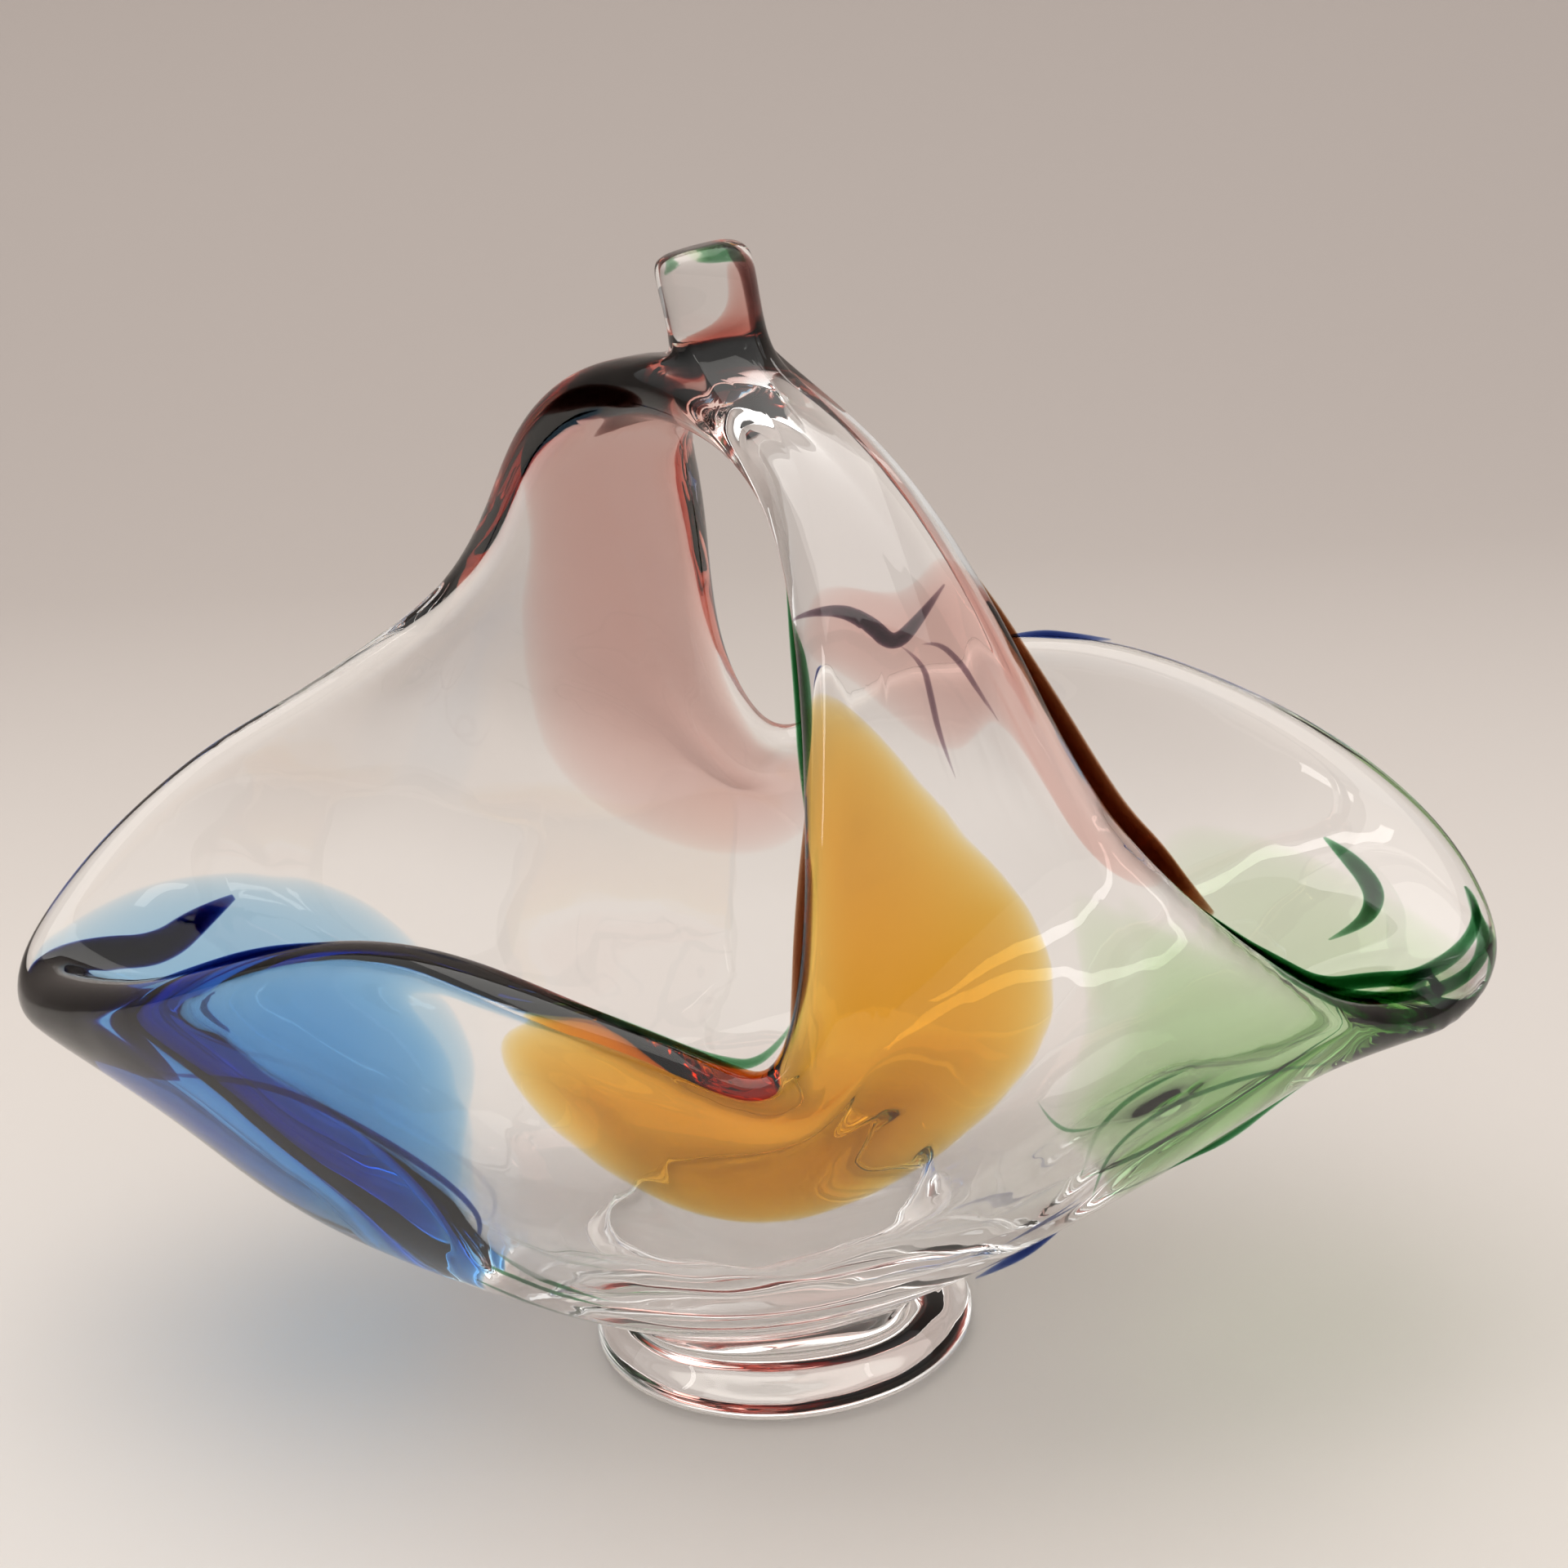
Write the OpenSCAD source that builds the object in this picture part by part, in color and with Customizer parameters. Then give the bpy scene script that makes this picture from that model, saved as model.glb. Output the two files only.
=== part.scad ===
// Glass basket dish: one fused piece of thick glass.
// A bowl drawn out into a lip at each end, standing on a solid round foot.
// The front and back walls run up as two straps that meet over the bowl
// in a bail handle with a pulled stub on top. Four thin patches of coloured
// glass lie fused in the middle of the clear wall.
// Units are mm, +Z is up, -Y is the front and the foot rests on Z = 0.

/* [Dish] */
// Which part is shown
// Length from lip to lip
dish_length = 250; // [230:1:275]
// Width from the front wall to the back wall
dish_width = 150; // [142:1:165]
// Height of the handle above the floor, without the stub
handle_height = 168; // [155:1:185]

/* [Glass] */
// Thickness of the walls between rim and base
wall = 7; // [5:0.5:8.5]
// Thickness of the two straps of the handle
strap = 10.5; // [9:0.5:13]
// Thickness of the glass at the end of each lip
lip = 13; // [10:0.5:14]
// Extra glass gathered in the middle of the base
gather = 15; // [8:0.5:16]
// Radius over which the extra glass fades out
gather_spread = 31; // [26:1:34]
// Extra glass along the bottom of the left lip
left_keel = 14; // [8:1:16]
// Extra glass along the bottom of the right lip
right_keel = 9; // [5:1:11]
// Thickness of the coloured patches in the wall
colour = 2; // [1:0.5:3]

/* [Foot] */
// Radius of the foot at its widest
foot_radius = 33; // [30:0.5:38]
// Height of the foot below the neck
foot_height = 10; // [7:0.5:14]
// Radius of the neck between foot and bowl
neck_radius = 28; // [24:0.5:30]

/* [Stub] */
// Height of the stub above the handle
stub_height = 18; // [14:1:24]
// Width of the stub
stub_width = 15; // [12:0.5:18]

/* [Hidden] */

function unit(v) = v / norm(v);

// Guide curves of the middle of the wall. Each one runs once round the piece:
// from the base up the front wall and the front strap to the top of the handle,
// then down the back strap and the back wall to the base again.
// The two rims are the edges of the left and the right opening. The curves
// between them leave out the handle, where they follow from the two rims.
// The points are drawn for a dish 250 long, 150 wide and 168 high to the handle
// top on a foot 10 high, and are fitted to the sizes set above.
left_rim = [
    [-129, 6, 69], [-115, -8, 72.5], [-95, -23, 78], [-72, -37, 88.5], [-47, -51, 94.5],
    [-22, -67.5, 91.5], [-1.5, -73.5, 85.5], [8.5, -73.8, 82], [13, -67, 99], [14, -56, 119],
    [12, -38, 142.5], [5, -20, 154.5], [-6, -6.5, 161.5], [-22, 9, 164], [-36, 22, 154],
    [-45, 35, 138], [-57, 48.5, 122], [-68, 50, 114.5], [-79, 49, 108], [-90, 45, 102.5],
    [-101, 39.5, 97.5], [-111, 32.5, 91], [-119, 25, 84.5], [-126, 16, 76.5]
];
left_shoulder = [
    [-101, 4, 46.5], [-93, -14.5, 52], [-75, -32, 60], [-54, -45.5, 74], [-33, -59, 82],
    [-18, -68, 82], [0, -72.5, 79.5], [12.5, -73, 78.5], [18, -68, 97.5], [-51, 52, 119.5],
    [-59, 55, 109], [-65, 55, 99], [-72, 53, 90], [-79, 49, 81], [-86, 42, 72],
    [-93, 32, 63], [-97, 20, 51.5]
];
left_belly = [
    [-66, 3, 24.5], [-62, -20, 30], [-49, -39, 43], [-37, -51, 59], [-20, -62, 69],
    [-11, -67.5, 69.5], [4, -70.3, 70.5], [18, -71.8, 77.5], [23.5, -68, 95.5], [-45, 53, 117],
    [-49, 56, 104], [-51, 57, 91], [-53, 56, 79], [-55, 52, 67], [-59, 45, 56],
    [-60, 36, 42.5], [-63, 22, 30.5]
];
spine = [
    [0, 0, 18.5], [0, -26, 21.5], [1, -42, 28], [3, -55, 40], [6, -61, 49],
    [9, -65, 56.5], [15, -68, 65], [26, -70, 79], [31, -66.5, 95.5], [-29, 58, 107.5],
    [-21, 66, 87], [-16.5, 66.3, 74.5], [-12, 64.3, 63], [-8, 60.5, 52], [-4, 54, 42],
    [-1, 42, 29], [0, 26, 21.5]
];
right_belly = [
    [62, -2.5, 35.5], [61, -20, 40], [58, -35, 47.5], [57, -43, 56], [53, -51, 63],
    [50, -55.5, 69], [47, -59, 77], [46, -61.5, 87], [44.5, -60.5, 104], [-18, 61, 102],
    [-9.5, 67.5, 79.5], [3, 68.3, 78.5], [12, 66.5, 76], [26, 60.5, 67], [40, 51, 58],
    [54, 38.5, 50], [60, 21.5, 41]
];
right_shoulder = [
    [97, -2, 57], [93.5, -12, 57.5], [87.5, -22.5, 58.5], [79, -32, 62], [72.5, -40.5, 67.5],
    [67, -47, 74.5], [62, -52, 84], [57, -56.5, 94.5], [51.5, -58, 106.5], [-12.5, 61, 101.5],
    [-3.5, 68.7, 82], [10, 69.5, 86], [23, 68, 89], [43, 62, 85], [61, 51, 78],
    [79, 39, 71], [91, 20.5, 63]
];
right_rim = [
    [121, 2, 68], [117.5, -6, 64], [108.5, -13, 63.5], [99, -20, 66], [90, -28, 71.5],
    [82, -35, 79], [74, -43, 88], [66, -50, 98], [58, -55, 109], [50, -51, 121],
    [40, -37, 138], [26, -16, 154.5], [9, 6.5, 162], [-6, 17.5, 157], [-7, 32, 141],
    [-8.5, 48, 121], [-7.5, 60, 102], [0, 68.5, 87], [11, 70, 92], [34, 67.5, 103],
    [60, 58.5, 105], [82, 45.5, 99.5], [100, 32.5, 92], [116, 17, 80]
];
drawn_length = 250;
drawn_width = 150;
drawn_handle = 168;
drawn_foot = 10;
drawn_strap = 10.5;
strap_middle = handle_height - strap / 2;
drawn_middle = drawn_handle - drawn_strap / 2;
function fitted(p) = [
    p[0] * dish_length / drawn_length,
    p[1] * dish_width / drawn_width,
    foot_height + (p[2] - drawn_foot) * (strap_middle - foot_height) / (drawn_middle - drawn_foot)];

// The handle's strap, a shallow arch from the left rim to the right rim.
strap_first = 9;
strap_final = 15;
strap_arch = 0.08;
function strap_spine(r) = (left_rim[r] + right_rim[r]) / 2;
function strap_point(r, share) =
    let (width = right_rim[r] - left_rim[r],
         outward = unit(cross(width, strap_spine(r + 1) - strap_spine(r - 1))))
    left_rim[r] + width * share + outward * norm(width) * strap_arch * 4 * share * (1 - share);
function with_strap(curve, share) = concat(
    [for (r = [0:strap_first - 1]) curve[r]],
    [for (r = [strap_first:strap_final]) strap_point(r, share)],
    [for (r = [strap_first:len(curve) - 1]) curve[r]]);
drawn_loops = [
    left_rim,
    with_strap(left_shoulder, 0.12),
    with_strap(left_belly, 0.28),
    with_strap(spine, 0.5),
    with_strap(right_belly, 0.72),
    with_strap(right_shoulder, 0.88),
    right_rim
];
loops = [for (curve = drawn_loops) [for (p = curve) fitted(p)]];
last = len(loops) - 1;
rows = len(left_rim);
apex_row = rows / 2;

ring_steps = 72;
edge_steps = 3;
outer_steps = 36;
inner_steps = 20;

function wrap(i, n) = ((i % n) + n) % n;
function lerp(a, b, t) = a + (b - a) * t;
function smooth(t) = t <= 0 ? 0 : t >= 1 ? 1 : t * t * (3 - 2 * t);

// A closed curve of even bend through its points, u counting the points.
function held(curve, k) =
    let (n = len(curve))
    curve[wrap(k, n)] * 4 / 3 - (curve[wrap(k - 1, n)] + curve[wrap(k + 1, n)]) / 6;
function round_curve(curve, u) =
    let (k = floor(u), f = u - k, g = 1 - f)
    (held(curve, k - 1) * pow(g, 3)
    + held(curve, k) * (3 * pow(f, 3) - 6 * f * f + 4)
    + held(curve, k + 1) * (3 * pow(g, 3) - 6 * g * g + 4)
    + held(curve, k + 2) * pow(f, 3)) / 6;
function round_curve_rate(curve, u) =
    let (k = floor(u), f = u - k, g = 1 - f)
    (held(curve, k - 1) * (-g * g)
    + held(curve, k) * (3 * f * f - 4 * f)
    + held(curve, k + 1) * (4 * g - 3 * g * g)
    + held(curve, k + 2) * (f * f)) / 2;
function along(u) = [for (curve = loops) round_curve(curve, u)];
function along_rate(u) = [for (curve = loops) round_curve_rate(curve, u)];

// Cross curve through one point of each loop, free at its two ends.
// The bends are found by sweeping forward and then back.
function sweep(p, k) =
    let (d = 6 * (p[k - 1] - 2 * p[k] + p[k + 1]))
    k == 1 ? [[1 / 4, d / 4]]
    : let (done = sweep(p, k - 1), was = done[len(done) - 1], w = 1 / (4 - was[0]))
      concat(done, [[w, (d - was[1]) * w]]);
function unsweep(s, k) =
    k == len(s) ? [[0, 0, 0]]
    : let (rest = unsweep(s, k + 1))
      concat([s[k][1] - s[k][0] * rest[0]], rest);
function bends(p) = concat([[0, 0, 0]], unsweep(sweep(p, last - 1), 0));
function across(p, m, s) =
    let (k = min(last - 1, max(0, floor(s))), f = s - k, g = 1 - f)
    p[k] * g + p[k + 1] * f + (m[k] * (pow(g, 3) - g) + m[k + 1] * (pow(f, 3) - f)) / 6;
function across_rate(p, m, s) =
    let (k = min(last - 1, max(0, floor(s))), f = s - k, g = 1 - f)
    p[k + 1] - p[k] + (m[k] * (1 - 3 * g * g) + m[k + 1] * (3 * f * f - 1)) / 6;

// How far up a row is: 0 at the base, 1 on the straps.
function rise(u) = smooth((apex_row - abs(u - apex_row) - 6) / 3);
// Glass thickness at row u and cross position s.
function thick(u, s, p) =
    let (side = abs(s - last / 2) / (last / 2),
         low = 1 - smooth((apex_row - abs(u - apex_row)) / 3.5),
         from_middle = norm([p[0], p[1]]),
         down = 1 - rise(u))
    wall
    + (strap - wall) * rise(u)
    + (lip - wall) * low * smooth((side - 0.55) / 0.45)
    + 1.5 * smooth((side - 0.6) / 0.4) * (1 - low) * down
    + gather * exp(-pow(from_middle / gather_spread, 2)) * down;

// Extra glass on the inside only, in a ridge along the keel under each lip.
function ridge(u, s) =
    let (side = abs(s - last / 2) / (last / 2),
         off = apex_row - abs(wrap(u, rows) - apex_row))
    (s < last / 2 ? left_keel : right_keel)
    * smooth((side - 0.2) / 0.2) * smooth((0.95 - side) / 0.35) * exp(-pow(off / 1.5, 2));

// One closed cut: outside from left rim to right rim, inside back again.
// The spots crowd towards the middle, where the foot and the stub join on.
function crowd(t) = 0.5 + (t - 0.5) * (0.72 + 1.12 * (t - 0.5) * (t - 0.5));
function spots(count, a, b) = [for (j = [1:count - 1]) lerp(a, b, crowd(j / count))];
function cut(u) =
    let (p = along(u),
         q = along_rate(u),
         mp = bends(p),
         mq = bends(q),
         hl = thick(u, 0, p[0]) / 2,
         hr = thick(u, last, p[last]) / 2,
         el = hl / norm(across_rate(p, mp, 0)),
         er = hr / norm(across_rate(p, mp, last)),
         left_edge = [for (j = [1:edge_steps]) 90 * j / edge_steps],
         outer = concat(
             [for (a = left_edge) [el * (1 - cos(a)), sin(a)]],
             [for (s = spots(outer_steps, el, last - er)) [s, 1]],
             [for (j = [0:edge_steps - 1]) let (a = 90 - 90 * j / edge_steps) [last - er * (1 - cos(a)), sin(a)]]),
         inner = concat(
             [for (a = left_edge) [el * (1 - cos(a)), sin(a)]],
             [for (s = spots(inner_steps, el, last - er)) [s, 1]],
             [for (j = [0:edge_steps - 1]) let (a = 90 - 90 * j / edge_steps) [last - er * (1 - cos(a)), sin(a)]]),
         put = function (s, w)
             let (m = across(p, mp, s),
                  n = unit(cross(across_rate(p, mp, s), across(q, mq, s))))
             m + n * w * (thick(u, s, m) / 2 + (w < 0 ? ridge(u, s) : 0)))
    concat(
        [p[0]],
        [for (e = outer) put(e[0], e[1])],
        [p[last]],
        [for (j = [len(inner) - 1:-1:0]) put(inner[j][0], -inner[j][1])]);

cuts = [for (i = [0:ring_steps - 1]) cut(i * rows / ring_steps)];
around = len(cuts[0]);
outer_first = edge_steps;
outer_middle = edge_steps + outer_steps / 2;

function grid(i, j) = wrap(i, ring_steps) * around + wrap(j, around);

// A block of outside cells swapped for a fitted ring of points.
function block_edge(row, col, half_rows, half_cols) = concat(
    [for (j = [-half_cols:half_cols - 1]) grid(row - half_rows, col + j)],
    [for (i = [-half_rows:half_rows - 1]) grid(row + i, col + half_cols)],
    [for (j = [half_cols:-1:-half_cols + 1]) grid(row + half_rows, col + j)],
    [for (i = [half_rows:-1:-half_rows + 1]) grid(row + i, col - half_cols)]);
function in_block(i, j, row, col, half_rows, half_cols) =
    let (di = wrap(i - row + half_rows, ring_steps), dj = j - col + half_cols)
    di < 2 * half_rows && dj >= 0 && dj < 2 * half_cols;

foot_row = 0;
foot_half_rows = 4;
foot_half_cols = 3;
stub_row = ring_steps / 2;
stub_half_rows = 2;
stub_half_cols = 20;

foot_edge = block_edge(foot_row, outer_middle, foot_half_rows, foot_half_cols);
stub_edge = block_edge(stub_row, outer_middle, stub_half_rows, stub_half_cols);

grid_points = [for (c = cuts) each c];

// Foot: rings from the block edge down to the flat underside.
foot_profile = [
    [neck_radius, foot_height],
    [neck_radius + 2, foot_height * 0.72],
    [foot_radius - 0.4, foot_height * 0.45],
    [foot_radius, foot_height * 0.25],
    [foot_radius - 0.8, foot_height * 0.08],
    [foot_radius - 3, 0],
    [foot_radius * 0.5, 0]
];
// Even turns round a ring, matched to the corners of the block it grows from.
function turn(k, count, half_cols) = (k - half_cols) * 360 / count;
function foot_ring(r) =
    let (count = len(foot_edge))
    [for (k = [0:count - 1])
        let (a = 90 - turn(k, count, foot_half_cols))
        [r[0] * cos(a), r[0] * sin(a), r[1]]];
// A fillet ring part of the way from the block edge to the first full ring.
function halfway(edge, ring, t) = [for (k = [0:len(edge) - 1]) lerp(grid_points[edge[k]], ring[k], t)];

// Stub: rings up a leaning stem with a rounded, slightly slanted end.
stub_base = [1.5, 0, handle_height];
stub_lean = [-0.13, 0, 1];
stub_facing = -43;
stub_profile = [[1.04, 0.12], [0.99, 0.35], [1.02, 0.65], [1.02, 0.86], [0.92, 0.95], [0.6, 1]];
function stub_ring(r) =
    let (count = len(stub_edge))
    [for (k = [0:count - 1])
        let (a = stub_facing + turn(k, count, stub_half_cols), w = r[0] * stub_width / 2)
        stub_base + stub_lean * r[1] * stub_height
        + [w * cos(a), w * 0.86 * sin(a), 0.8 * r[1] * cos(a)]];

foot_points = concat(
    halfway(foot_edge, foot_ring(foot_profile[0]), 0.6),
    [for (r = foot_profile) each foot_ring(r)]);
stub_points = concat(
    halfway(stub_edge, stub_ring(stub_profile[0]), 0.6),
    [for (r = stub_profile) each stub_ring(r)]);
foot_start = len(grid_points);
stub_start = foot_start + len(foot_points);
pole_start = stub_start + len(stub_points);
pole_points = [[0, 0, 0], stub_base + stub_lean * stub_height];
points = concat(grid_points, foot_points, stub_points, pole_points);

// Each four-sided cell becomes two triangles along its shorter diagonal.
function halves(at, a, b, c, d) =
    norm(at[a] - at[c]) <= norm(at[b] - at[d])
    ? [[a, c, b], [a, d, c]]
    : [[b, d, c], [b, a, d]];
function band(at, lower, upper) = [for (k = [0:len(lower) - 1])
    let (n = wrap(k + 1, len(lower)))
    each halves(at, lower[k], lower[n], upper[n], upper[k])];
function ring_ids(start, count, r) = [for (k = [0:count - 1]) start + r * count + k];
function tower(at, edge, start, levels, pole) =
    let (count = len(edge))
    concat(
        band(at, edge, ring_ids(start, count, 0)),
        [for (r = [0:levels - 2]) each band(at, ring_ids(start, count, r), ring_ids(start, count, r + 1))],
        [for (k = [0:count - 1])
            let (top = ring_ids(start, count, levels - 1))
            [top[wrap(k + 1, count)], top[k], pole]]);

skin = [for (i = [0:ring_steps - 1], j = [0:around - 1])
    if (!in_block(i, j, foot_row, outer_middle, foot_half_rows, foot_half_cols)
        && !in_block(i, j, stub_row, outer_middle, stub_half_rows, stub_half_cols))
    each halves(points, grid(i, j), grid(i, j + 1), grid(i + 1, j + 1), grid(i + 1, j))];
faces = concat(
    skin,
    tower(points, foot_edge, foot_start, len(foot_profile) + 1, pole_start),
    tower(points, stub_edge, stub_start, len(stub_profile) + 1, pole_start + 1));

// Coloured patches. An outline counts rows round the piece and loops from the left
// rim to the right rim, so that a patch follows every change of the wall.
amber_outline = [
    [5, 0.2], [6, 0.22], [7.2, 0.3], [8.2, 0.25], [9.1, 0.2], [9.45, 0.7],
    [9.25, 1.9], [8.75, 3.1], [8, 3.95], [7, 4.12], [6.1, 3.85], [5.3, 3.5],
    [5, 3.1], [4.7, 2.6], [3.9, 2.2], [3.8, 1.6], [4.2, 0.8]
];
amber_middle = [7.3, 2.2];
blue_outline = [
    [4.2, 0.2], [4.05, 0.9], [3.55, 1.55], [2.7, 2], [1.5, 2.2], [0, 2.2],
    [-1.5, 2.1], [-2.7, 1.9], [-3.1, 1.4], [-2.8, 0.8], [-2.1, 0.35], [-1, 0.1],
    [0, 0.06], [1, 0.07], [2, 0.08], [3.2, 0.12]
];
blue_middle = [0.6, 1.1];
rose_outline = [
    [11.15, 0.2], [11.9, 0.15], [12.8, 0.15], [13.7, 0.3], [14.6, 1.1], [15.6, 1.9],
    [17, 2.15], [18, 2.2], [18.7, 2.5], [19.1, 3], [19.2, 3.6], [18.6, 4.3],
    [17.5, 4.9], [16.4, 5.3], [15.3, 5.55], [14.2, 5.6], [13.2, 5.55], [12.3, 5.65],
    [11.8, 3.6], [11.4, 1.5]
];
rose_middle = [14.8, 3.5];
rose_front_outline = [
    [9.6, 0.5], [9.9, 1], [9.95, 2], [9.85, 3], [10.1, 4], [10.2, 5],
    [9.9, 5.65], [9.2, 5.85], [8.4, 5.88], [7.7, 5.9], [7.1, 5.85], [7.4, 5.5],
    [8.2, 5.05], [8.9, 4.6], [9.15, 4.1], [8.95, 3.5], [9.05, 2.8], [9.35, 1.9],
    [9.5, 1.1]
];
rose_front_middle = [9.6, 4.4];
green_outline = [
    [8, 4.5], [7.3, 5.25], [6, 5.75], [4.5, 5.85], [3.2, 5.92], [2, 5.94],
    [1, 5.92], [0.2, 5.8], [-0.8, 5.45], [-1.8, 5.3], [-2.5, 5], [-2.3, 4.6],
    [-1.3, 4.1], [0, 3.85], [1.5, 3.88], [3.5, 3.88], [5, 3.82], [6, 4.1],
    [6.7, 4.28], [7.4, 4.35]
];
green_middle = [2.6, 4.9];
patch_turns = 30;
patch_rings = [0.22, 0.42, 0.62, 0.8, 0.93];

// The middle of the wall at a row and loop, and the way out of it.
function wall_middle(spot) =
    let (p = along(spot[0]),
         q = along_rate(spot[0]),
         mp = bends(p),
         mq = bends(q))
    [across(p, mp, spot[1]),
     unit(cross(across_rate(p, mp, spot[1]), across(q, mq, spot[1])))];
function patch_ring(outline, middle, share) = [for (k = [0:patch_turns - 1])
    wall_middle(lerp(middle, round_curve(outline, k * len(outline) / patch_turns), share))];
// A lens that is thickest in the middle and runs out to nothing at its outline.
function lens(share) = colour / 2 * sqrt(1 - pow(share, 4));
module patch(outline, middle) {
    core = wall_middle(middle);
    rings = [for (share = patch_rings) patch_ring(outline, middle, share)];
    levels = len(patch_rings);
    at = concat(
        [core[0] + core[1] * lens(0)],
        [for (r = [0:levels - 1]) each [for (x = rings[r]) x[0] + x[1] * lens(patch_rings[r])]],
        [for (x = patch_ring(outline, middle, 1)) x[0]],
        [for (r = [levels - 1:-1:0]) each [for (x = rings[r]) x[0] - x[1] * lens(patch_rings[r])]],
        [core[0] - core[1] * lens(0)]);
    first = ring_ids(1, patch_turns, 0);
    polyhedron(
        points = at,
        faces = concat(
            [for (k = [0:patch_turns - 1]) [0, first[k], first[wrap(k + 1, patch_turns)]]],
            tower(at, first, 1 + patch_turns, 2 * levels, len(at) - 1)));
}

module dish() {
    color([0.86, 0.9, 0.9, 0.6])
        polyhedron(points = points, faces = faces);
}

// Coloured glass drawn up into the stub, as rings of height, width and shift to the right
// in shares of the stub's own height and width.
bead_turns = 12;
bead_round = 0.03;
rose_streak = [
    [-0.2, 0.5, 0], [-0.12, 0.78, 0], [0, 0.88, 0], [0.14, 0.86, 0.01], [0.26, 0.66, 0.07],
    [0.34, 0.4, 0.18], [0.5, 0.24, 0.25], [0.68, 0.2, 0.26], [0.82, 0.14, 0.24]
];
green_tip = [[0.85, 0.34, -0.03], [0.88, 0.44, -0.03], [0.92, 0.42, -0.03], [0.945, 0.26, -0.03]];
module bead(profile) {
    levels = len(profile);
    function spot(height, shift) =
        stub_base + stub_lean * height * stub_height + [shift * stub_width, 0, 0];
    at = concat(
        [spot(profile[0][0] - bead_round, profile[0][2])],
        [for (r = profile, k = [0:bead_turns - 1])
            let (a = 360 * k / bead_turns, w = r[1] * stub_width / 2)
            spot(r[0], r[2]) + [w * cos(a), w * 0.86 * sin(a), 0]],
        [spot(profile[levels - 1][0] + bead_round, profile[levels - 1][2])]);
    first = ring_ids(1, bead_turns, 0);
    polyhedron(
        points = at,
        faces = concat(
            [for (k = [0:bead_turns - 1]) [0, first[k], first[wrap(k + 1, bead_turns)]]],
            tower(at, first, 1 + bead_turns, levels - 1, len(at) - 1)));
}

module amber_patch() {
    color([0.85, 0.5, 0.15])
        patch(amber_outline, amber_middle);
}

module blue_patch() {
    color([0.3, 0.55, 0.85])
        patch(blue_outline, blue_middle);
}

module rose_patch() {
    color([0.8, 0.6, 0.56]) {
        patch(rose_outline, rose_middle);
        patch(rose_front_outline, rose_front_middle);
        bead(rose_streak);
    }
}

module green_patch() {
    color([0.68, 0.8, 0.66]) {
        patch(green_outline, green_middle);
        bead(green_tip);
    }
}

amber_patch();
blue_patch();
rose_patch();
green_patch();
dish();
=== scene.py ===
# %% [markdown]
# # A glass basket dish
# The real object is one fused piece of thick glass. It was gathered, drawn out into two lips and
# pulled up into a handle while it was hot. Thin coloured glass lies inside the clear glass.
# The solids come from the frame. This script gives them a smooth skin, the coloured glass,
# a floor, light and a camera.

# %% Load the frame
import math
import bpy
import bmesh
from mathutils import Matrix, Vector


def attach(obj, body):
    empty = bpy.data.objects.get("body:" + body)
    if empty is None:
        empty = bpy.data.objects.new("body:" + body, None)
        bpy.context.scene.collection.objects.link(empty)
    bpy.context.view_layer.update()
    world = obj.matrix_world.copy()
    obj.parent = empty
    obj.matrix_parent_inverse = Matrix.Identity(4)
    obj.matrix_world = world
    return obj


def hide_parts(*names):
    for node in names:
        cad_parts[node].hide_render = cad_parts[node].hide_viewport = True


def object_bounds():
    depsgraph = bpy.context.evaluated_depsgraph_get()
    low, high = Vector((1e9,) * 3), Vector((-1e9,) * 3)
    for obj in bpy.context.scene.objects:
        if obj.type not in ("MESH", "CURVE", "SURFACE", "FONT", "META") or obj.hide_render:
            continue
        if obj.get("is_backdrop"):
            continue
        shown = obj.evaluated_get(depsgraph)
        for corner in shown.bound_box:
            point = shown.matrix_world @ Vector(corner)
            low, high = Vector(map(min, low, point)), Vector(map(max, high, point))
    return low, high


MM = 0.001
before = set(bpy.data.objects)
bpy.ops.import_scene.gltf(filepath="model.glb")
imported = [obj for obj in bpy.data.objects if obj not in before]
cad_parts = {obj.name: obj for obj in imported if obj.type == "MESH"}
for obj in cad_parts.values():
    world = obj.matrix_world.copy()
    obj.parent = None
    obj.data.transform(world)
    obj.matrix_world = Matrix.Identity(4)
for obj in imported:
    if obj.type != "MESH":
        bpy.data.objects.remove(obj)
cad_box = [list(corner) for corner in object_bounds()]
cad_size = [round((high - low) / MM, 1) for low, high in zip(*cad_box)]
print("CAD box, mm:", cad_size)

# %% [markdown]
# ## The camera
# The photograph was taken from a little above and a little to the right, from close by, and it
# leans by a few degrees. A camera can be placed by angles, but a matrix built from its three
# directions keeps the lean in one place, so it is done that way here.

# %% Place the camera
CAMERA_PLACE = Vector((41.8, -397.8, 233)) * MM
AIM_TURN = math.radians(5.1)
AIM_DROP = math.radians(18.51)
LEAN = math.radians(4.0)
FOCAL_PIXELS = 3182
PHOTO_PIXELS = 1920
SENSOR_WIDE = 36
NEAREST_SEEN = 0.01

forward = Vector((
    -math.sin(AIM_TURN) * math.cos(AIM_DROP),
    math.cos(AIM_TURN) * math.cos(AIM_DROP),
    -math.sin(AIM_DROP)))
level = Vector((math.cos(AIM_TURN), math.sin(AIM_TURN), 0))
upright = level.cross(forward)
side = level * math.cos(LEAN) - upright * math.sin(LEAN)
up = level * math.sin(LEAN) + upright * math.cos(LEAN)

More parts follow.
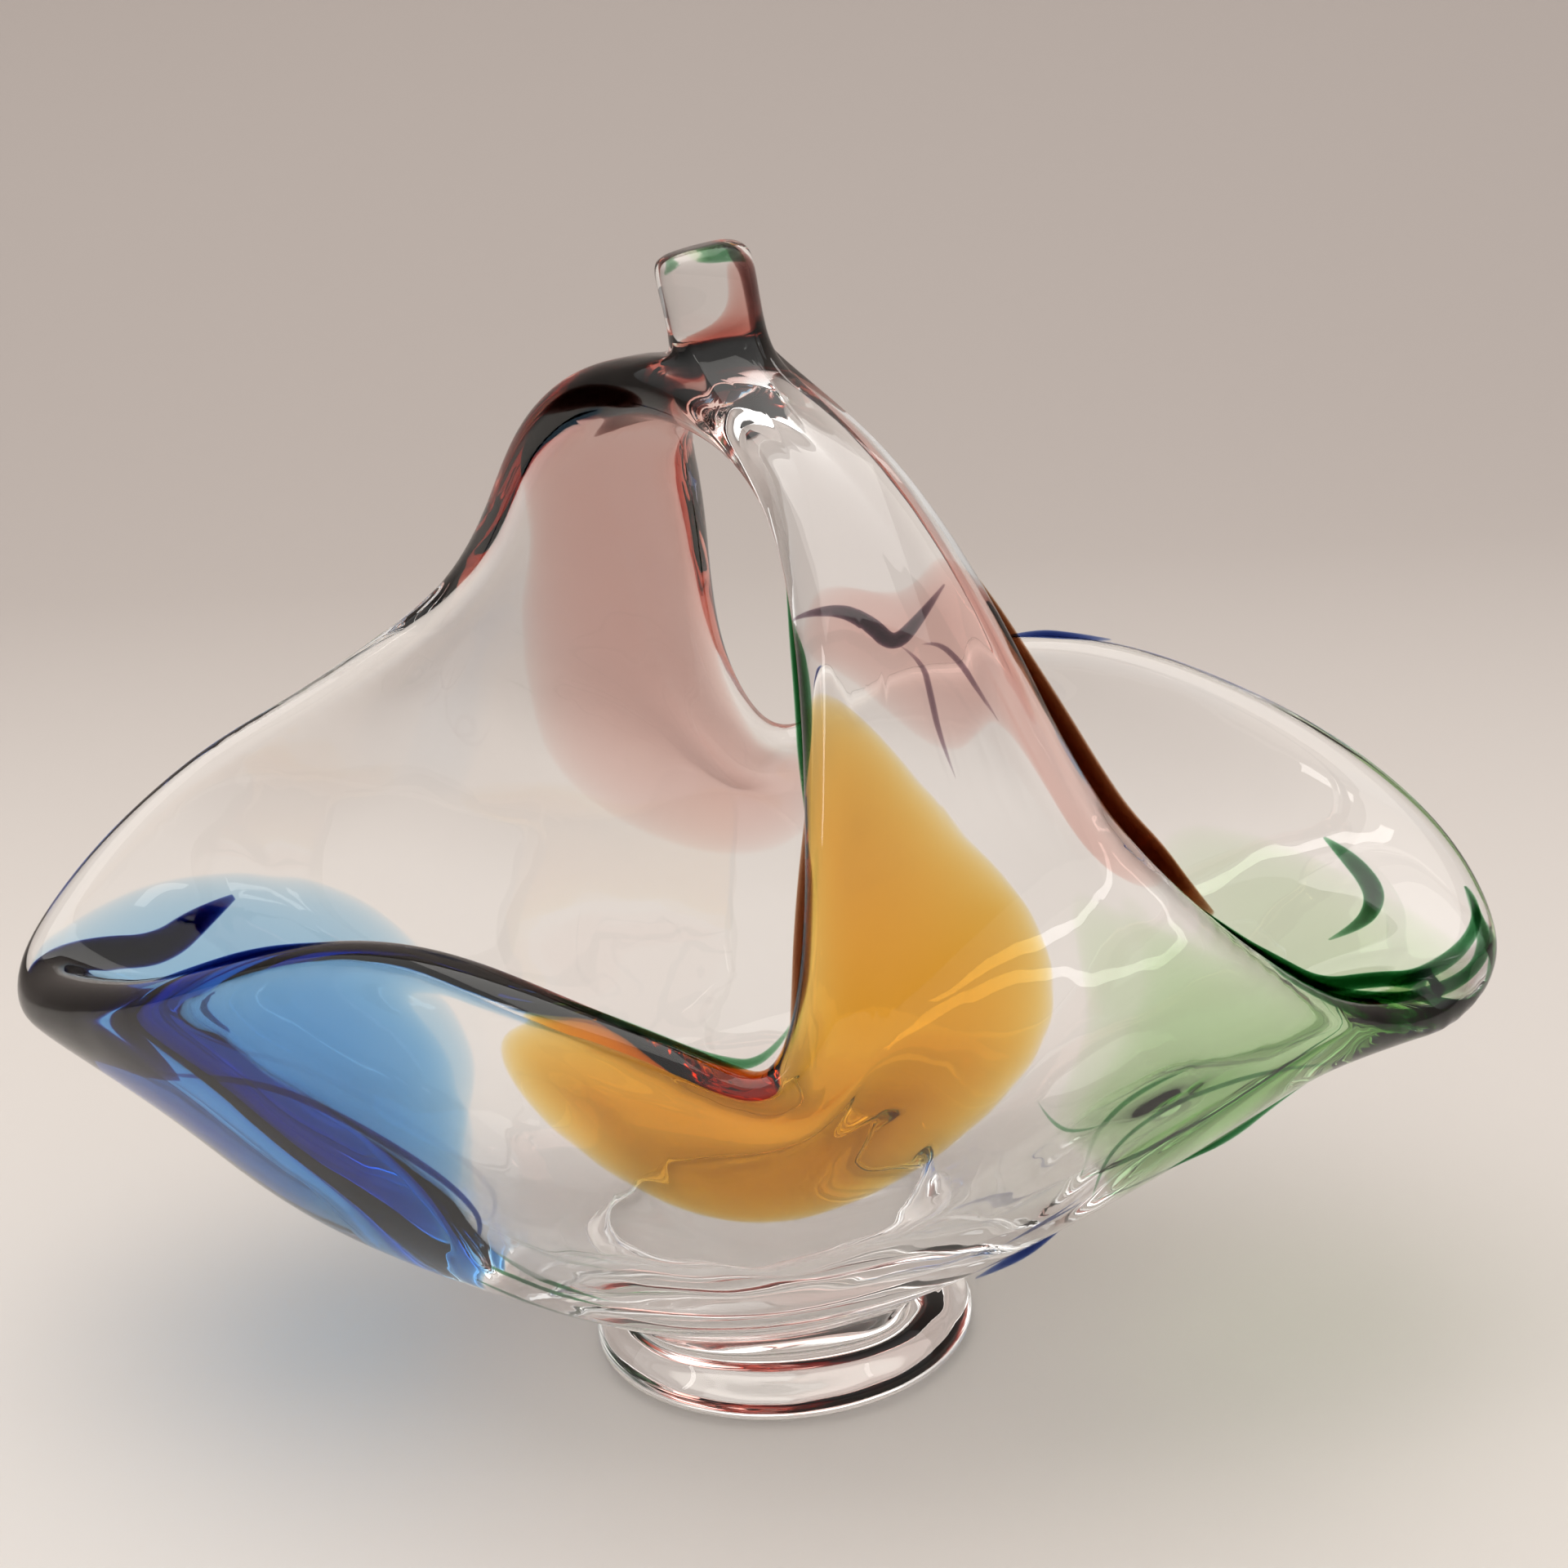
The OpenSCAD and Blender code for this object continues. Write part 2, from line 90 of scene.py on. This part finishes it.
camera_data = bpy.data.cameras.new("camera")
camera_data.sensor_fit = "HORIZONTAL"
camera_data.sensor_width = SENSOR_WIDE
camera_data.lens = FOCAL_PIXELS * SENSOR_WIDE / PHOTO_PIXELS
camera_data.clip_start = NEAREST_SEEN
camera = bpy.data.objects.new("camera", camera_data)
camera.matrix_world = Matrix.Translation(CAMERA_PLACE) @ Matrix((
    (side.x, up.x, -forward.x),
    (side.y, up.y, -forward.y),
    (side.z, up.z, -forward.z))).to_4x4()
bpy.context.scene.collection.objects.link(camera)
bpy.context.scene.camera = camera
bpy.context.scene.view_settings.view_transform = "Standard"
print("lens, mm:", round(camera_data.lens, 2))

# %% [markdown]
# ## The smooth skin
# Hot glass has no facets. The solid from the frame is made of flat triangles, so a copy of it is
# joined into four-sided faces and subdivided. Catmull-Clark subdivision was chosen because it
# rounds the rims and keeps the shape between them.

# %% Make the skin of the dish
SKIN_LEVELS = 2
WELD_GAP = 0.002 * MM
FLAT_ENOUGH = math.radians(60)
ANY_SHAPE = math.radians(180)


def welded_copy(node):
    """A mesh of the node with its loose triangles joined."""
    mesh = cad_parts[node].data.copy()
    work = bmesh.new()
    work.from_mesh(mesh)
    bmesh.ops.remove_doubles(work, verts=work.verts, dist=WELD_GAP)
    bmesh.ops.join_triangles(
        work, faces=work.faces, angle_face_threshold=FLAT_ENOUGH, angle_shape_threshold=ANY_SHAPE)
    work.to_mesh(mesh)
    work.free()
    return mesh


def subdivided(mesh, name, levels):
    """An object with the mesh subdivided that many times."""
    rough = bpy.data.objects.new(name + "_rough", mesh)
    bpy.context.scene.collection.objects.link(rough)
    modifier = rough.modifiers.new("round", "SUBSURF")
    modifier.levels = modifier.render_levels = levels
    evaluated = rough.evaluated_get(bpy.context.evaluated_depsgraph_get())
    smooth = bpy.data.meshes.new_from_object(evaluated)
    bpy.data.objects.remove(rough)
    smooth.name = name
    smooth.polygons.foreach_set("use_smooth", [True] * len(smooth.polygons))
    smooth.materials.clear()
    return bpy.data.objects.new(name, smooth)


dish = subdivided(welded_copy("dish"), "glass_dish", SKIN_LEVELS)
bpy.context.scene.collection.objects.link(dish)
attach(dish, "root")
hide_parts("dish")
print("faces of the skin:", len(dish.data.polygons))

# %% [markdown]
# ## Coloured glass inside the wall
# The colours of such a dish are thin patches of coloured glass, fused between two layers of clear
# glass. Painting them on the skin would look flat. The frame has each one as a lens in the middle
# of the wall, thin at its edge, and here its colour is absorption. Seen square on it is pale, and
# seen along its length it turns deep, as the real one does. Its surface bends no light, because
# there is glass on both sides of it.

# %% Make the coloured glass
PATCH_THICK = 2 * MM
PATCH_LEVELS = 2


def coloured_glass(name, passed):
    """Glass that lets these shares of red, green and blue through the thickness of a patch."""
    material = bpy.data.materials.new(name)
    material.use_nodes = True
    nodes, links = material.node_tree.nodes, material.node_tree.links
    body = nodes["Principled BSDF"]
    body.inputs["Base Color"].default_value = (1, 1, 1, 1)
    body.inputs["Transmission Weight"].default_value = 1
    body.inputs["Roughness"].default_value = 0
    body.inputs["IOR"].default_value = 1
    taken = [-math.log(share) / PATCH_THICK for share in passed]
    absorb = nodes.new("ShaderNodeVolumeAbsorption")
    absorb.inputs["Density"].default_value = max(taken)
    absorb.inputs["Color"].default_value = (*[1 - t / max(taken) for t in taken], 1)
    links.new(absorb.outputs[0], nodes["Material Output"].inputs["Volume"])
    return material


def coloured_patch(node, name, passed):
    """A smooth copy of a patch in place of the frame's own."""
    patch = subdivided(welded_copy(node), name, PATCH_LEVELS)
    bpy.context.scene.collection.objects.link(patch)
    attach(patch, "root")
    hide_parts(node)
    patch.data.materials.append(coloured_glass(name, passed))
    print(name, "faces:", len(patch.data.polygons))


coloured_patch("amber_patch", "amber_lens", (0.86, 0.42, 0.04))
coloured_patch("blue_patch", "blue_lens", (0.33, 0.61, 0.88))
coloured_patch("rose_patch", "rose_lens", (0.88, 0.64, 0.60))
coloured_patch("green_patch", "green_lens", (0.76, 0.89, 0.70))

# %% [markdown]
# ## Threads of deep colour and painted shade
# Where the colour of a patch is seen along its length it is nearly black. Threads of deep glass
# darken the rims, lips, handle, stub and petal outlines where the real dish looks dark. In part
# this is the coloured glass drawn out into threads, and in part it is painted shade for the dark
# reflections in the rims. The fold lines of the front strap are painted shade in neutral dark
# glass. Each thread is a curve swept with a round section that runs out at both ends. A curve was
# chosen because a few points in the rim are enough for it.

# %% Draw the threads
# Deep colours for the threads: partly the glass's own colour seen along its length, partly painted
# shade for dark reflections in the rims.
DEEP_BLUE = coloured_glass("deep_blue", (0.02, 0.04, 0.22))
DEEP_GREEN = coloured_glass("deep_green", (0.04, 0.19, 0.07))
DEEP_BROWN = coloured_glass("deep_brown", (0.28, 0.12, 0.06))
DEEP_ROSE = coloured_glass("deep_rose", (0.24, 0.11, 0.10))
# Near-black glass with no colour of its own: painted shade for the folds of the front strap.
FOLD_PAINTED_SHADE = coloured_glass("fold_painted_shade", (0.06, 0.03, 0.05))
THREAD_ROUNDNESS = 3
THREAD_STEPS = 10
THREAD_ORDER = 3
THREAD_END = 0.15
THREAD_SWELL = 0.6


def thread(name, material, thick, path):
    """A thread of deep glass along a path. The path and the thickness in its middle are in mm."""
    curve = bpy.data.curves.new(name, "CURVE")
    curve.dimensions = "3D"
    curve.bevel_depth = thick * MM / 2
    curve.bevel_resolution = THREAD_ROUNDNESS
    curve.resolution_u = THREAD_STEPS
    curve.use_fill_caps = True
    spline = curve.splines.new("NURBS")
    spline.points.add(len(path) - 1)
    spline.use_endpoint_u = True
    spline.order_u = THREAD_ORDER
    for k, (point, place) in enumerate(zip(spline.points, path)):
        point.co = (*[c * MM for c in place], 1)
        swell = math.sin(math.pi * k / (len(path) - 1)) ** THREAD_SWELL
        point.radius = THREAD_END + (1 - THREAD_END) * swell
    rough = bpy.data.objects.new(name + "_rough", curve)
    bpy.context.scene.collection.objects.link(rough)
    evaluated = rough.evaluated_get(bpy.context.evaluated_depsgraph_get())
    mesh = bpy.data.meshes.new_from_object(evaluated)
    bpy.data.objects.remove(rough)
    mesh.name = name
    mesh.polygons.foreach_set("use_smooth", [True] * len(mesh.polygons))
    mesh.materials.clear()
    mesh.materials.append(material)
    drawn = bpy.data.objects.new(name, mesh)
    bpy.context.scene.collection.objects.link(drawn)
    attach(drawn, "root")


thread("left_lip_thread", DEEP_BLUE, 8.5, [
    (-90, -6, 61), (-97, -6, 62), (-104, -6, 64), (-112, -4, 64), (-119, 0, 65), (-123, 8, 67),
    (-118, 14, 67), (-109, 20, 65), (-103, 27, 69), (-98, 32, 71)])
thread("left_rim_thread", DEEP_BLUE, 2.6, [
    (-95, -23, 78), (-84, -30, 83), (-72, -37, 88), (-59, -44, 91), (-47, -51, 93), (-34, -59, 93),
    (-22, -66, 91)])
thread("notch_thread", DEEP_GREEN, 1.8, [
    (-34, -59, 93), (-22, -66, 91), (-10, -71, 88), (0, -73, 84), (8, -73, 83), (12, -70, 89)])
thread("strap_left_green", DEEP_GREEN, 4.2, [
    (15, -61, 110), (15, -55, 120), (15, -49, 128), (14, -43, 136), (12, -35, 143)])
thread("strap_left_brown", DEEP_BROWN, 4, [
    (11, -72, 84), (13, -70, 91), (14, -66, 100), (15, -61, 110), (15, -56, 118)])
thread("strap_right_brown", DEEP_BROWN, 5.6, [
    (34, -28, 146), (39, -36, 139), (44, -43, 131), (49, -49, 123), (53, -52, 116), (57, -54, 110),
    (62, -52, 104), (66, -49, 98), (71, -45, 92)])
LIP_SHIFTS = (-5, 0, 5)
for k, shift in enumerate(LIP_SHIFTS):
    thread("right_lip_thread_%d" % (k + 1), DEEP_GREEN, 2.6, [
        (67, -49, 96), (75, -41, 86), (81, -35 + shift / 2, 79), (89, -27 + shift / 2, 71),
        (98, -19 + shift / 2, 66 + shift / 2), (107, -12 + shift / 2, 63 + shift / 2),
        (115, -5, 64 + shift), (118, 2, 68 + shift), (116, 8, 73)])
thread("right_far_thread", DEEP_GREEN, 3.6, [
    (97, 26, 76), (100, 22, 74), (103, 15, 71), (103, 10, 69), (100, 6, 66), (95, 5, 64)])
thread("right_back_rim_thread", DEEP_BLUE, 2.2, [
    (42, 65, 104), (48, 63, 105), (55, 60, 105), (62, 57, 105)])
HANDLE_SHIFTS = (0, 4, 8)
for k, shift in enumerate(HANDLE_SHIFTS):
    thread("handle_thread_%d" % (k + 1), DEEP_ROSE, 4, [
        (-31 + shift, 18 + shift, 158), (-26 + shift, 13 + shift, 161),
        (-20 + shift, 8 + shift / 2, 163), (-13 + shift, 1 + shift / 2, 163),
        (-6 + shift / 2, -2 + shift / 2, 163)])
thread("stub_base_thread", DEEP_ROSE, 8, [
    (-6, 3, 166), (-3, 3, 167), (1, 2, 168), (5, 1, 168), (8, 0, 167)])
thread("stub_side_thread", DEEP_ROSE, 3.4, [
    (5, 1, 167), (6, 1, 173), (6, 0, 179), (5, 0, 183), (2, 0, 185)])
thread("stub_top_thread", DEEP_GREEN, 2.4, [
    (-5, 0, 182), (-3, 0, 184), (0, 0, 184), (3, 0, 184), (5, 0, 183)])
# Painted shade along the fold lines of the front strap, in neutral dark glass.
thread("rose_edge_shade_thread", FOLD_PAINTED_SHADE, 2.6, [
    (14, -43, 138), (19, -43, 139), (24, -45, 137), (27, -47, 134), (30, -45, 136), (34, -39, 140)])
thread("rose_fold_shade_thread", FOLD_PAINTED_SHADE, 1, [
    (28, -47, 134), (31, -48, 132), (32, -51, 128), (33, -54, 123), (35, -57, 118)])
thread("rose_fork_shade_thread", FOLD_PAINTED_SHADE, 1, [
    (31, -47, 134), (33, -46, 134), (36, -47, 131), (38, -49, 128), (41, -52, 124)])
thread("right_petal_high", DEEP_GREEN, 1.3, [
    (52, -40, 45), (53, -46, 53), (57, -48, 60), (64, -46, 64), (73, -41, 64), (83, -32, 62),
    (94, -22, 58)])
thread("right_petal_low", DEEP_GREEN, 2.4, [
    (53, -39, 44), (61, -31, 43), (67, -27, 44), (75, -20, 44), (82, -20, 50), (89, -22, 56),
    (96, -20, 58)])
thread("right_leaf_thread", DEEP_GREEN, 0.8, [
    (44, -59, 71), (46, -57, 66), (50, -54, 63), (55, -53, 64)])
thread("left_petal_thread", DEEP_BLUE, 1.8, [
    (-98, -20, 62), (-85, -29, 65), (-72, -36, 66), (-60, -42, 63), (-49, -46, 58), (-42, -48, 53),
    (-39, -47, 47), (-42, -43, 42)])
thread("base_left_thread", DEEP_GREEN, 2.4, [
    (-45, -31, 32), (-40, -32, 29), (-35, -32, 26), (-29, -32, 24), (-23, -32, 22)])
thread("base_right_thread", DEEP_BLUE, 2, [
    (52, -27, 36), (46, -29, 32), (40, -30, 28), (34, -30, 25)])

# %% [markdown]
# ## Clear glass
# The body is heavy clear glass, polished by the fire. A Principled shader with full transmission
# bends what is behind it. Hand-worked glass is never quite flat, so a faint wide noise drives a
# bump that makes the reflections wander.

# %% Make the clear glass
GLASS_BENDING = 1.5
WAVES_PER_METRE = 45
WAVE_DETAIL = 1.5
WAVE_STRENGTH = 0.15
WAVE_HEIGHT = 1.5 * MM

clear = bpy.data.materials.new("clear_glass")
clear.use_nodes = True
clear_nodes, clear_links = clear.node_tree.nodes, clear.node_tree.links
shader = clear_nodes["Principled BSDF"]
shader.inputs["Transmission Weight"].default_value = 1
shader.inputs["IOR"].default_value = GLASS_BENDING
shader.inputs["Roughness"].default_value = 0
shader.inputs["Base Color"].default_value = (1, 1, 1, 1)
place = clear_nodes.new("ShaderNodeTexCoord")
waves = clear_nodes.new("ShaderNodeTexNoise")
waves.inputs["Scale"].default_value = WAVES_PER_METRE
waves.inputs["Detail"].default_value = WAVE_DETAIL
waviness = clear_nodes.new("ShaderNodeBump")
waviness.inputs["Strength"].default_value = WAVE_STRENGTH
waviness.inputs["Distance"].default_value = WAVE_HEIGHT
clear_links.new(place.outputs["Object"], waves.inputs["Vector"])
clear_links.new(waves.outputs["Fac"], waviness.inputs["Height"])
clear_links.new(waviness.outputs["Normal"], shader.inputs["Normal"])
dish.data.materials.append(clear)

# %% [markdown]
# ## Floor and backdrop
# Glass shows its surroundings, so they matter more than the lamps. The dish stands on a pale sheet
# that curves up behind it. Its colour is painted darker towards the back: painted shade where the
# backdrop gets less light.

# %% Make the sweep of pale paper
SWEEP_FRONT = -12
SWEEP_BACK = 0.55
SWEEP_BEND = 0.35
SWEEP_TOP = 1.6
SWEEP_WIDE = 12
BEND_STEPS = 15
AIR_GAP = 0.3 * MM  # glass never lies so close to paper that there is no air between them
# The far colour is the paper darkened with painted shade, for the backdrop that gets less light.
PAPER_NEAR = (0.74, 0.70, 0.665, 1)
PAPER_FAR_PAINTED_SHADE = (0.46, 0.413, 0.39, 1)
PAPER_ROUGHNESS = 0.9
PAPER_GLOSS = 0.1
SHADE_FADE_FROM = -0.1
SHADE_FADE_TO = 0.8

profile = [(SWEEP_FRONT, 0), (SWEEP_BACK, 0)]
profile += [
    (SWEEP_BACK + SWEEP_BEND * math.sin(a), SWEEP_BEND * (1 - math.cos(a)))
    for a in (math.radians(90 * k / BEND_STEPS) for k in range(1, BEND_STEPS + 1))]
profile += [(SWEEP_BACK + SWEEP_BEND, SWEEP_TOP)]
sweep_points = [(x, y, z - AIR_GAP) for y, z in profile for x in (-SWEEP_WIDE, SWEEP_WIDE)]
sweep_faces = [(2 * k, 2 * k + 1, 2 * k + 3, 2 * k + 2) for k in range(len(profile) - 1)]
sweep_mesh = bpy.data.meshes.new("paper_sweep")
sweep_mesh.from_pydata(sweep_points, [], sweep_faces)
sweep_mesh.polygons.foreach_set("use_smooth", [True] * len(sweep_mesh.polygons))
sweep = bpy.data.objects.new("paper_sweep", sweep_mesh)
bpy.context.scene.collection.objects.link(sweep)
sweep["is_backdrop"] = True

paper = bpy.data.materials.new("paper")
paper.use_nodes = True
paper_nodes, paper_links = paper.node_tree.nodes, paper.node_tree.links
paper_shader = paper_nodes["Principled BSDF"]
paper_shader.inputs["Roughness"].default_value = PAPER_ROUGHNESS
paper_shader.inputs["Specular IOR Level"].default_value = PAPER_GLOSS
# Painted shade: the paper's colour fades from the near colour to the darker far colour along its
# depth.
paper_place = paper_nodes.new("ShaderNodeTexCoord")
paper_split = paper_nodes.new("ShaderNodeSeparateXYZ")
paper_shade_fade = paper_nodes.new("ShaderNodeMapRange")
paper_shade_fade.inputs["From Min"].default_value = SHADE_FADE_FROM
paper_shade_fade.inputs["From Max"].default_value = SHADE_FADE_TO
paper_shade_fade.interpolation_type = "SMOOTHSTEP"
paper_mix = paper_nodes.new("ShaderNodeMix")
paper_mix.data_type = "RGBA"
paper_mix.inputs["A"].default_value = PAPER_NEAR
paper_mix.inputs["B"].default_value = PAPER_FAR_PAINTED_SHADE
paper_links.new(paper_place.outputs["Object"], paper_split.inputs[0])
paper_links.new(paper_split.outputs["Y"], paper_shade_fade.inputs["Value"])
paper_links.new(paper_shade_fade.outputs["Result"], paper_mix.inputs["Factor"])
paper_links.new(paper_mix.outputs["Result"], paper_shader.inputs["Base Color"])
sweep_mesh.materials.append(paper)

# %% [markdown]
# ## Light
# The room is bright above and dim near the horizon. The dim part is what the rims reflect, and it
# draws their dark lines. A wide lamp overhead lights the paper. Three narrow, weak ones put fine
# streaks on the walls.

# %% Light the room
ROOM_COLOUR = (0.9, 0.87, 0.84, 1)
ROOM_DIM = 0.3
ROOM_BRIGHT = 1.08
DIM_BELOW = 0.02
BRIGHT_ABOVE = 0.45
LAMP_COLOUR = (1, 0.97, 0.93)

world = bpy.data.worlds.new("room")
bpy.context.scene.world = world
world.use_nodes = True
world_nodes, world_links = world.node_tree.nodes, world.node_tree.links
room = world_nodes["Background"]
room.inputs["Color"].default_value = ROOM_COLOUR
room_place = world_nodes.new("ShaderNodeTexCoord")
room_split = world_nodes.new("ShaderNodeSeparateXYZ")
room_height = world_nodes.new("ShaderNodeMapRange")
room_height.inputs["From Min"].default_value = DIM_BELOW
room_height.inputs["From Max"].default_value = BRIGHT_ABOVE
room_height.inputs["To Min"].default_value = ROOM_DIM
room_height.inputs["To Max"].default_value = ROOM_BRIGHT
world_links.new(room_place.outputs["Generated"], room_split.inputs[0])
world_links.new(room_split.outputs["Z"], room_height.inputs["Value"])
world_links.new(room_height.outputs["Result"], room.inputs["Strength"])


def lamp(name, place, aim, wide, high, power):
    """A soft rectangular lamp at a place in metres, turned to a point, with its power in watts."""
    data = bpy.data.lights.new(name, "AREA")
    data.shape = "RECTANGLE"
    data.size, data.size_y = wide, high
    data.energy = power
    data.color = LAMP_COLOUR
    light = bpy.data.objects.new(name, data)
    light.location = place
    light.rotation_euler = (Vector(aim) - Vector(place)).to_track_quat("-Z", "Y").to_euler()
    bpy.context.scene.collection.objects.link(light)


MIDDLE = (0, 0, 0.1)
lamp("overhead_lamp", (-0.25, 0.1, 1.5), (0, 0.1, 0), wide=1.4, high=1.4, power=9.6)
lamp("left_lamp", (-0.9, -0.5, 0.8), MIDDLE, wide=0.06, high=0.5, power=0.5)
lamp("right_lamp", (0.9, -0.5, 1.0), MIDDLE, wide=0.06, high=0.3, power=0.15)
lamp("back_lamp", (0.3, 0.9, 0.9), MIDDLE, wide=0.5, high=0.08, power=0.3)

# %% [markdown]
# ## Light inside thick glass
# A ray inside thick glass is turned back many times before it leaves. With the usual few bounces it
# would end there, and the rims would be black.

# %% Let light turn many times
MOST_TURNS = 20
paths = bpy.context.scene.cycles
paths.max_bounces = paths.glossy_bounces = paths.transmission_bounces = MOST_TURNS

# %% Finish
seen_box = [list(corner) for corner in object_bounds()]
seen_size = [round((high - low) / MM, 1) for low, high in zip(*seen_box)]
print("visual box, mm:", seen_size)
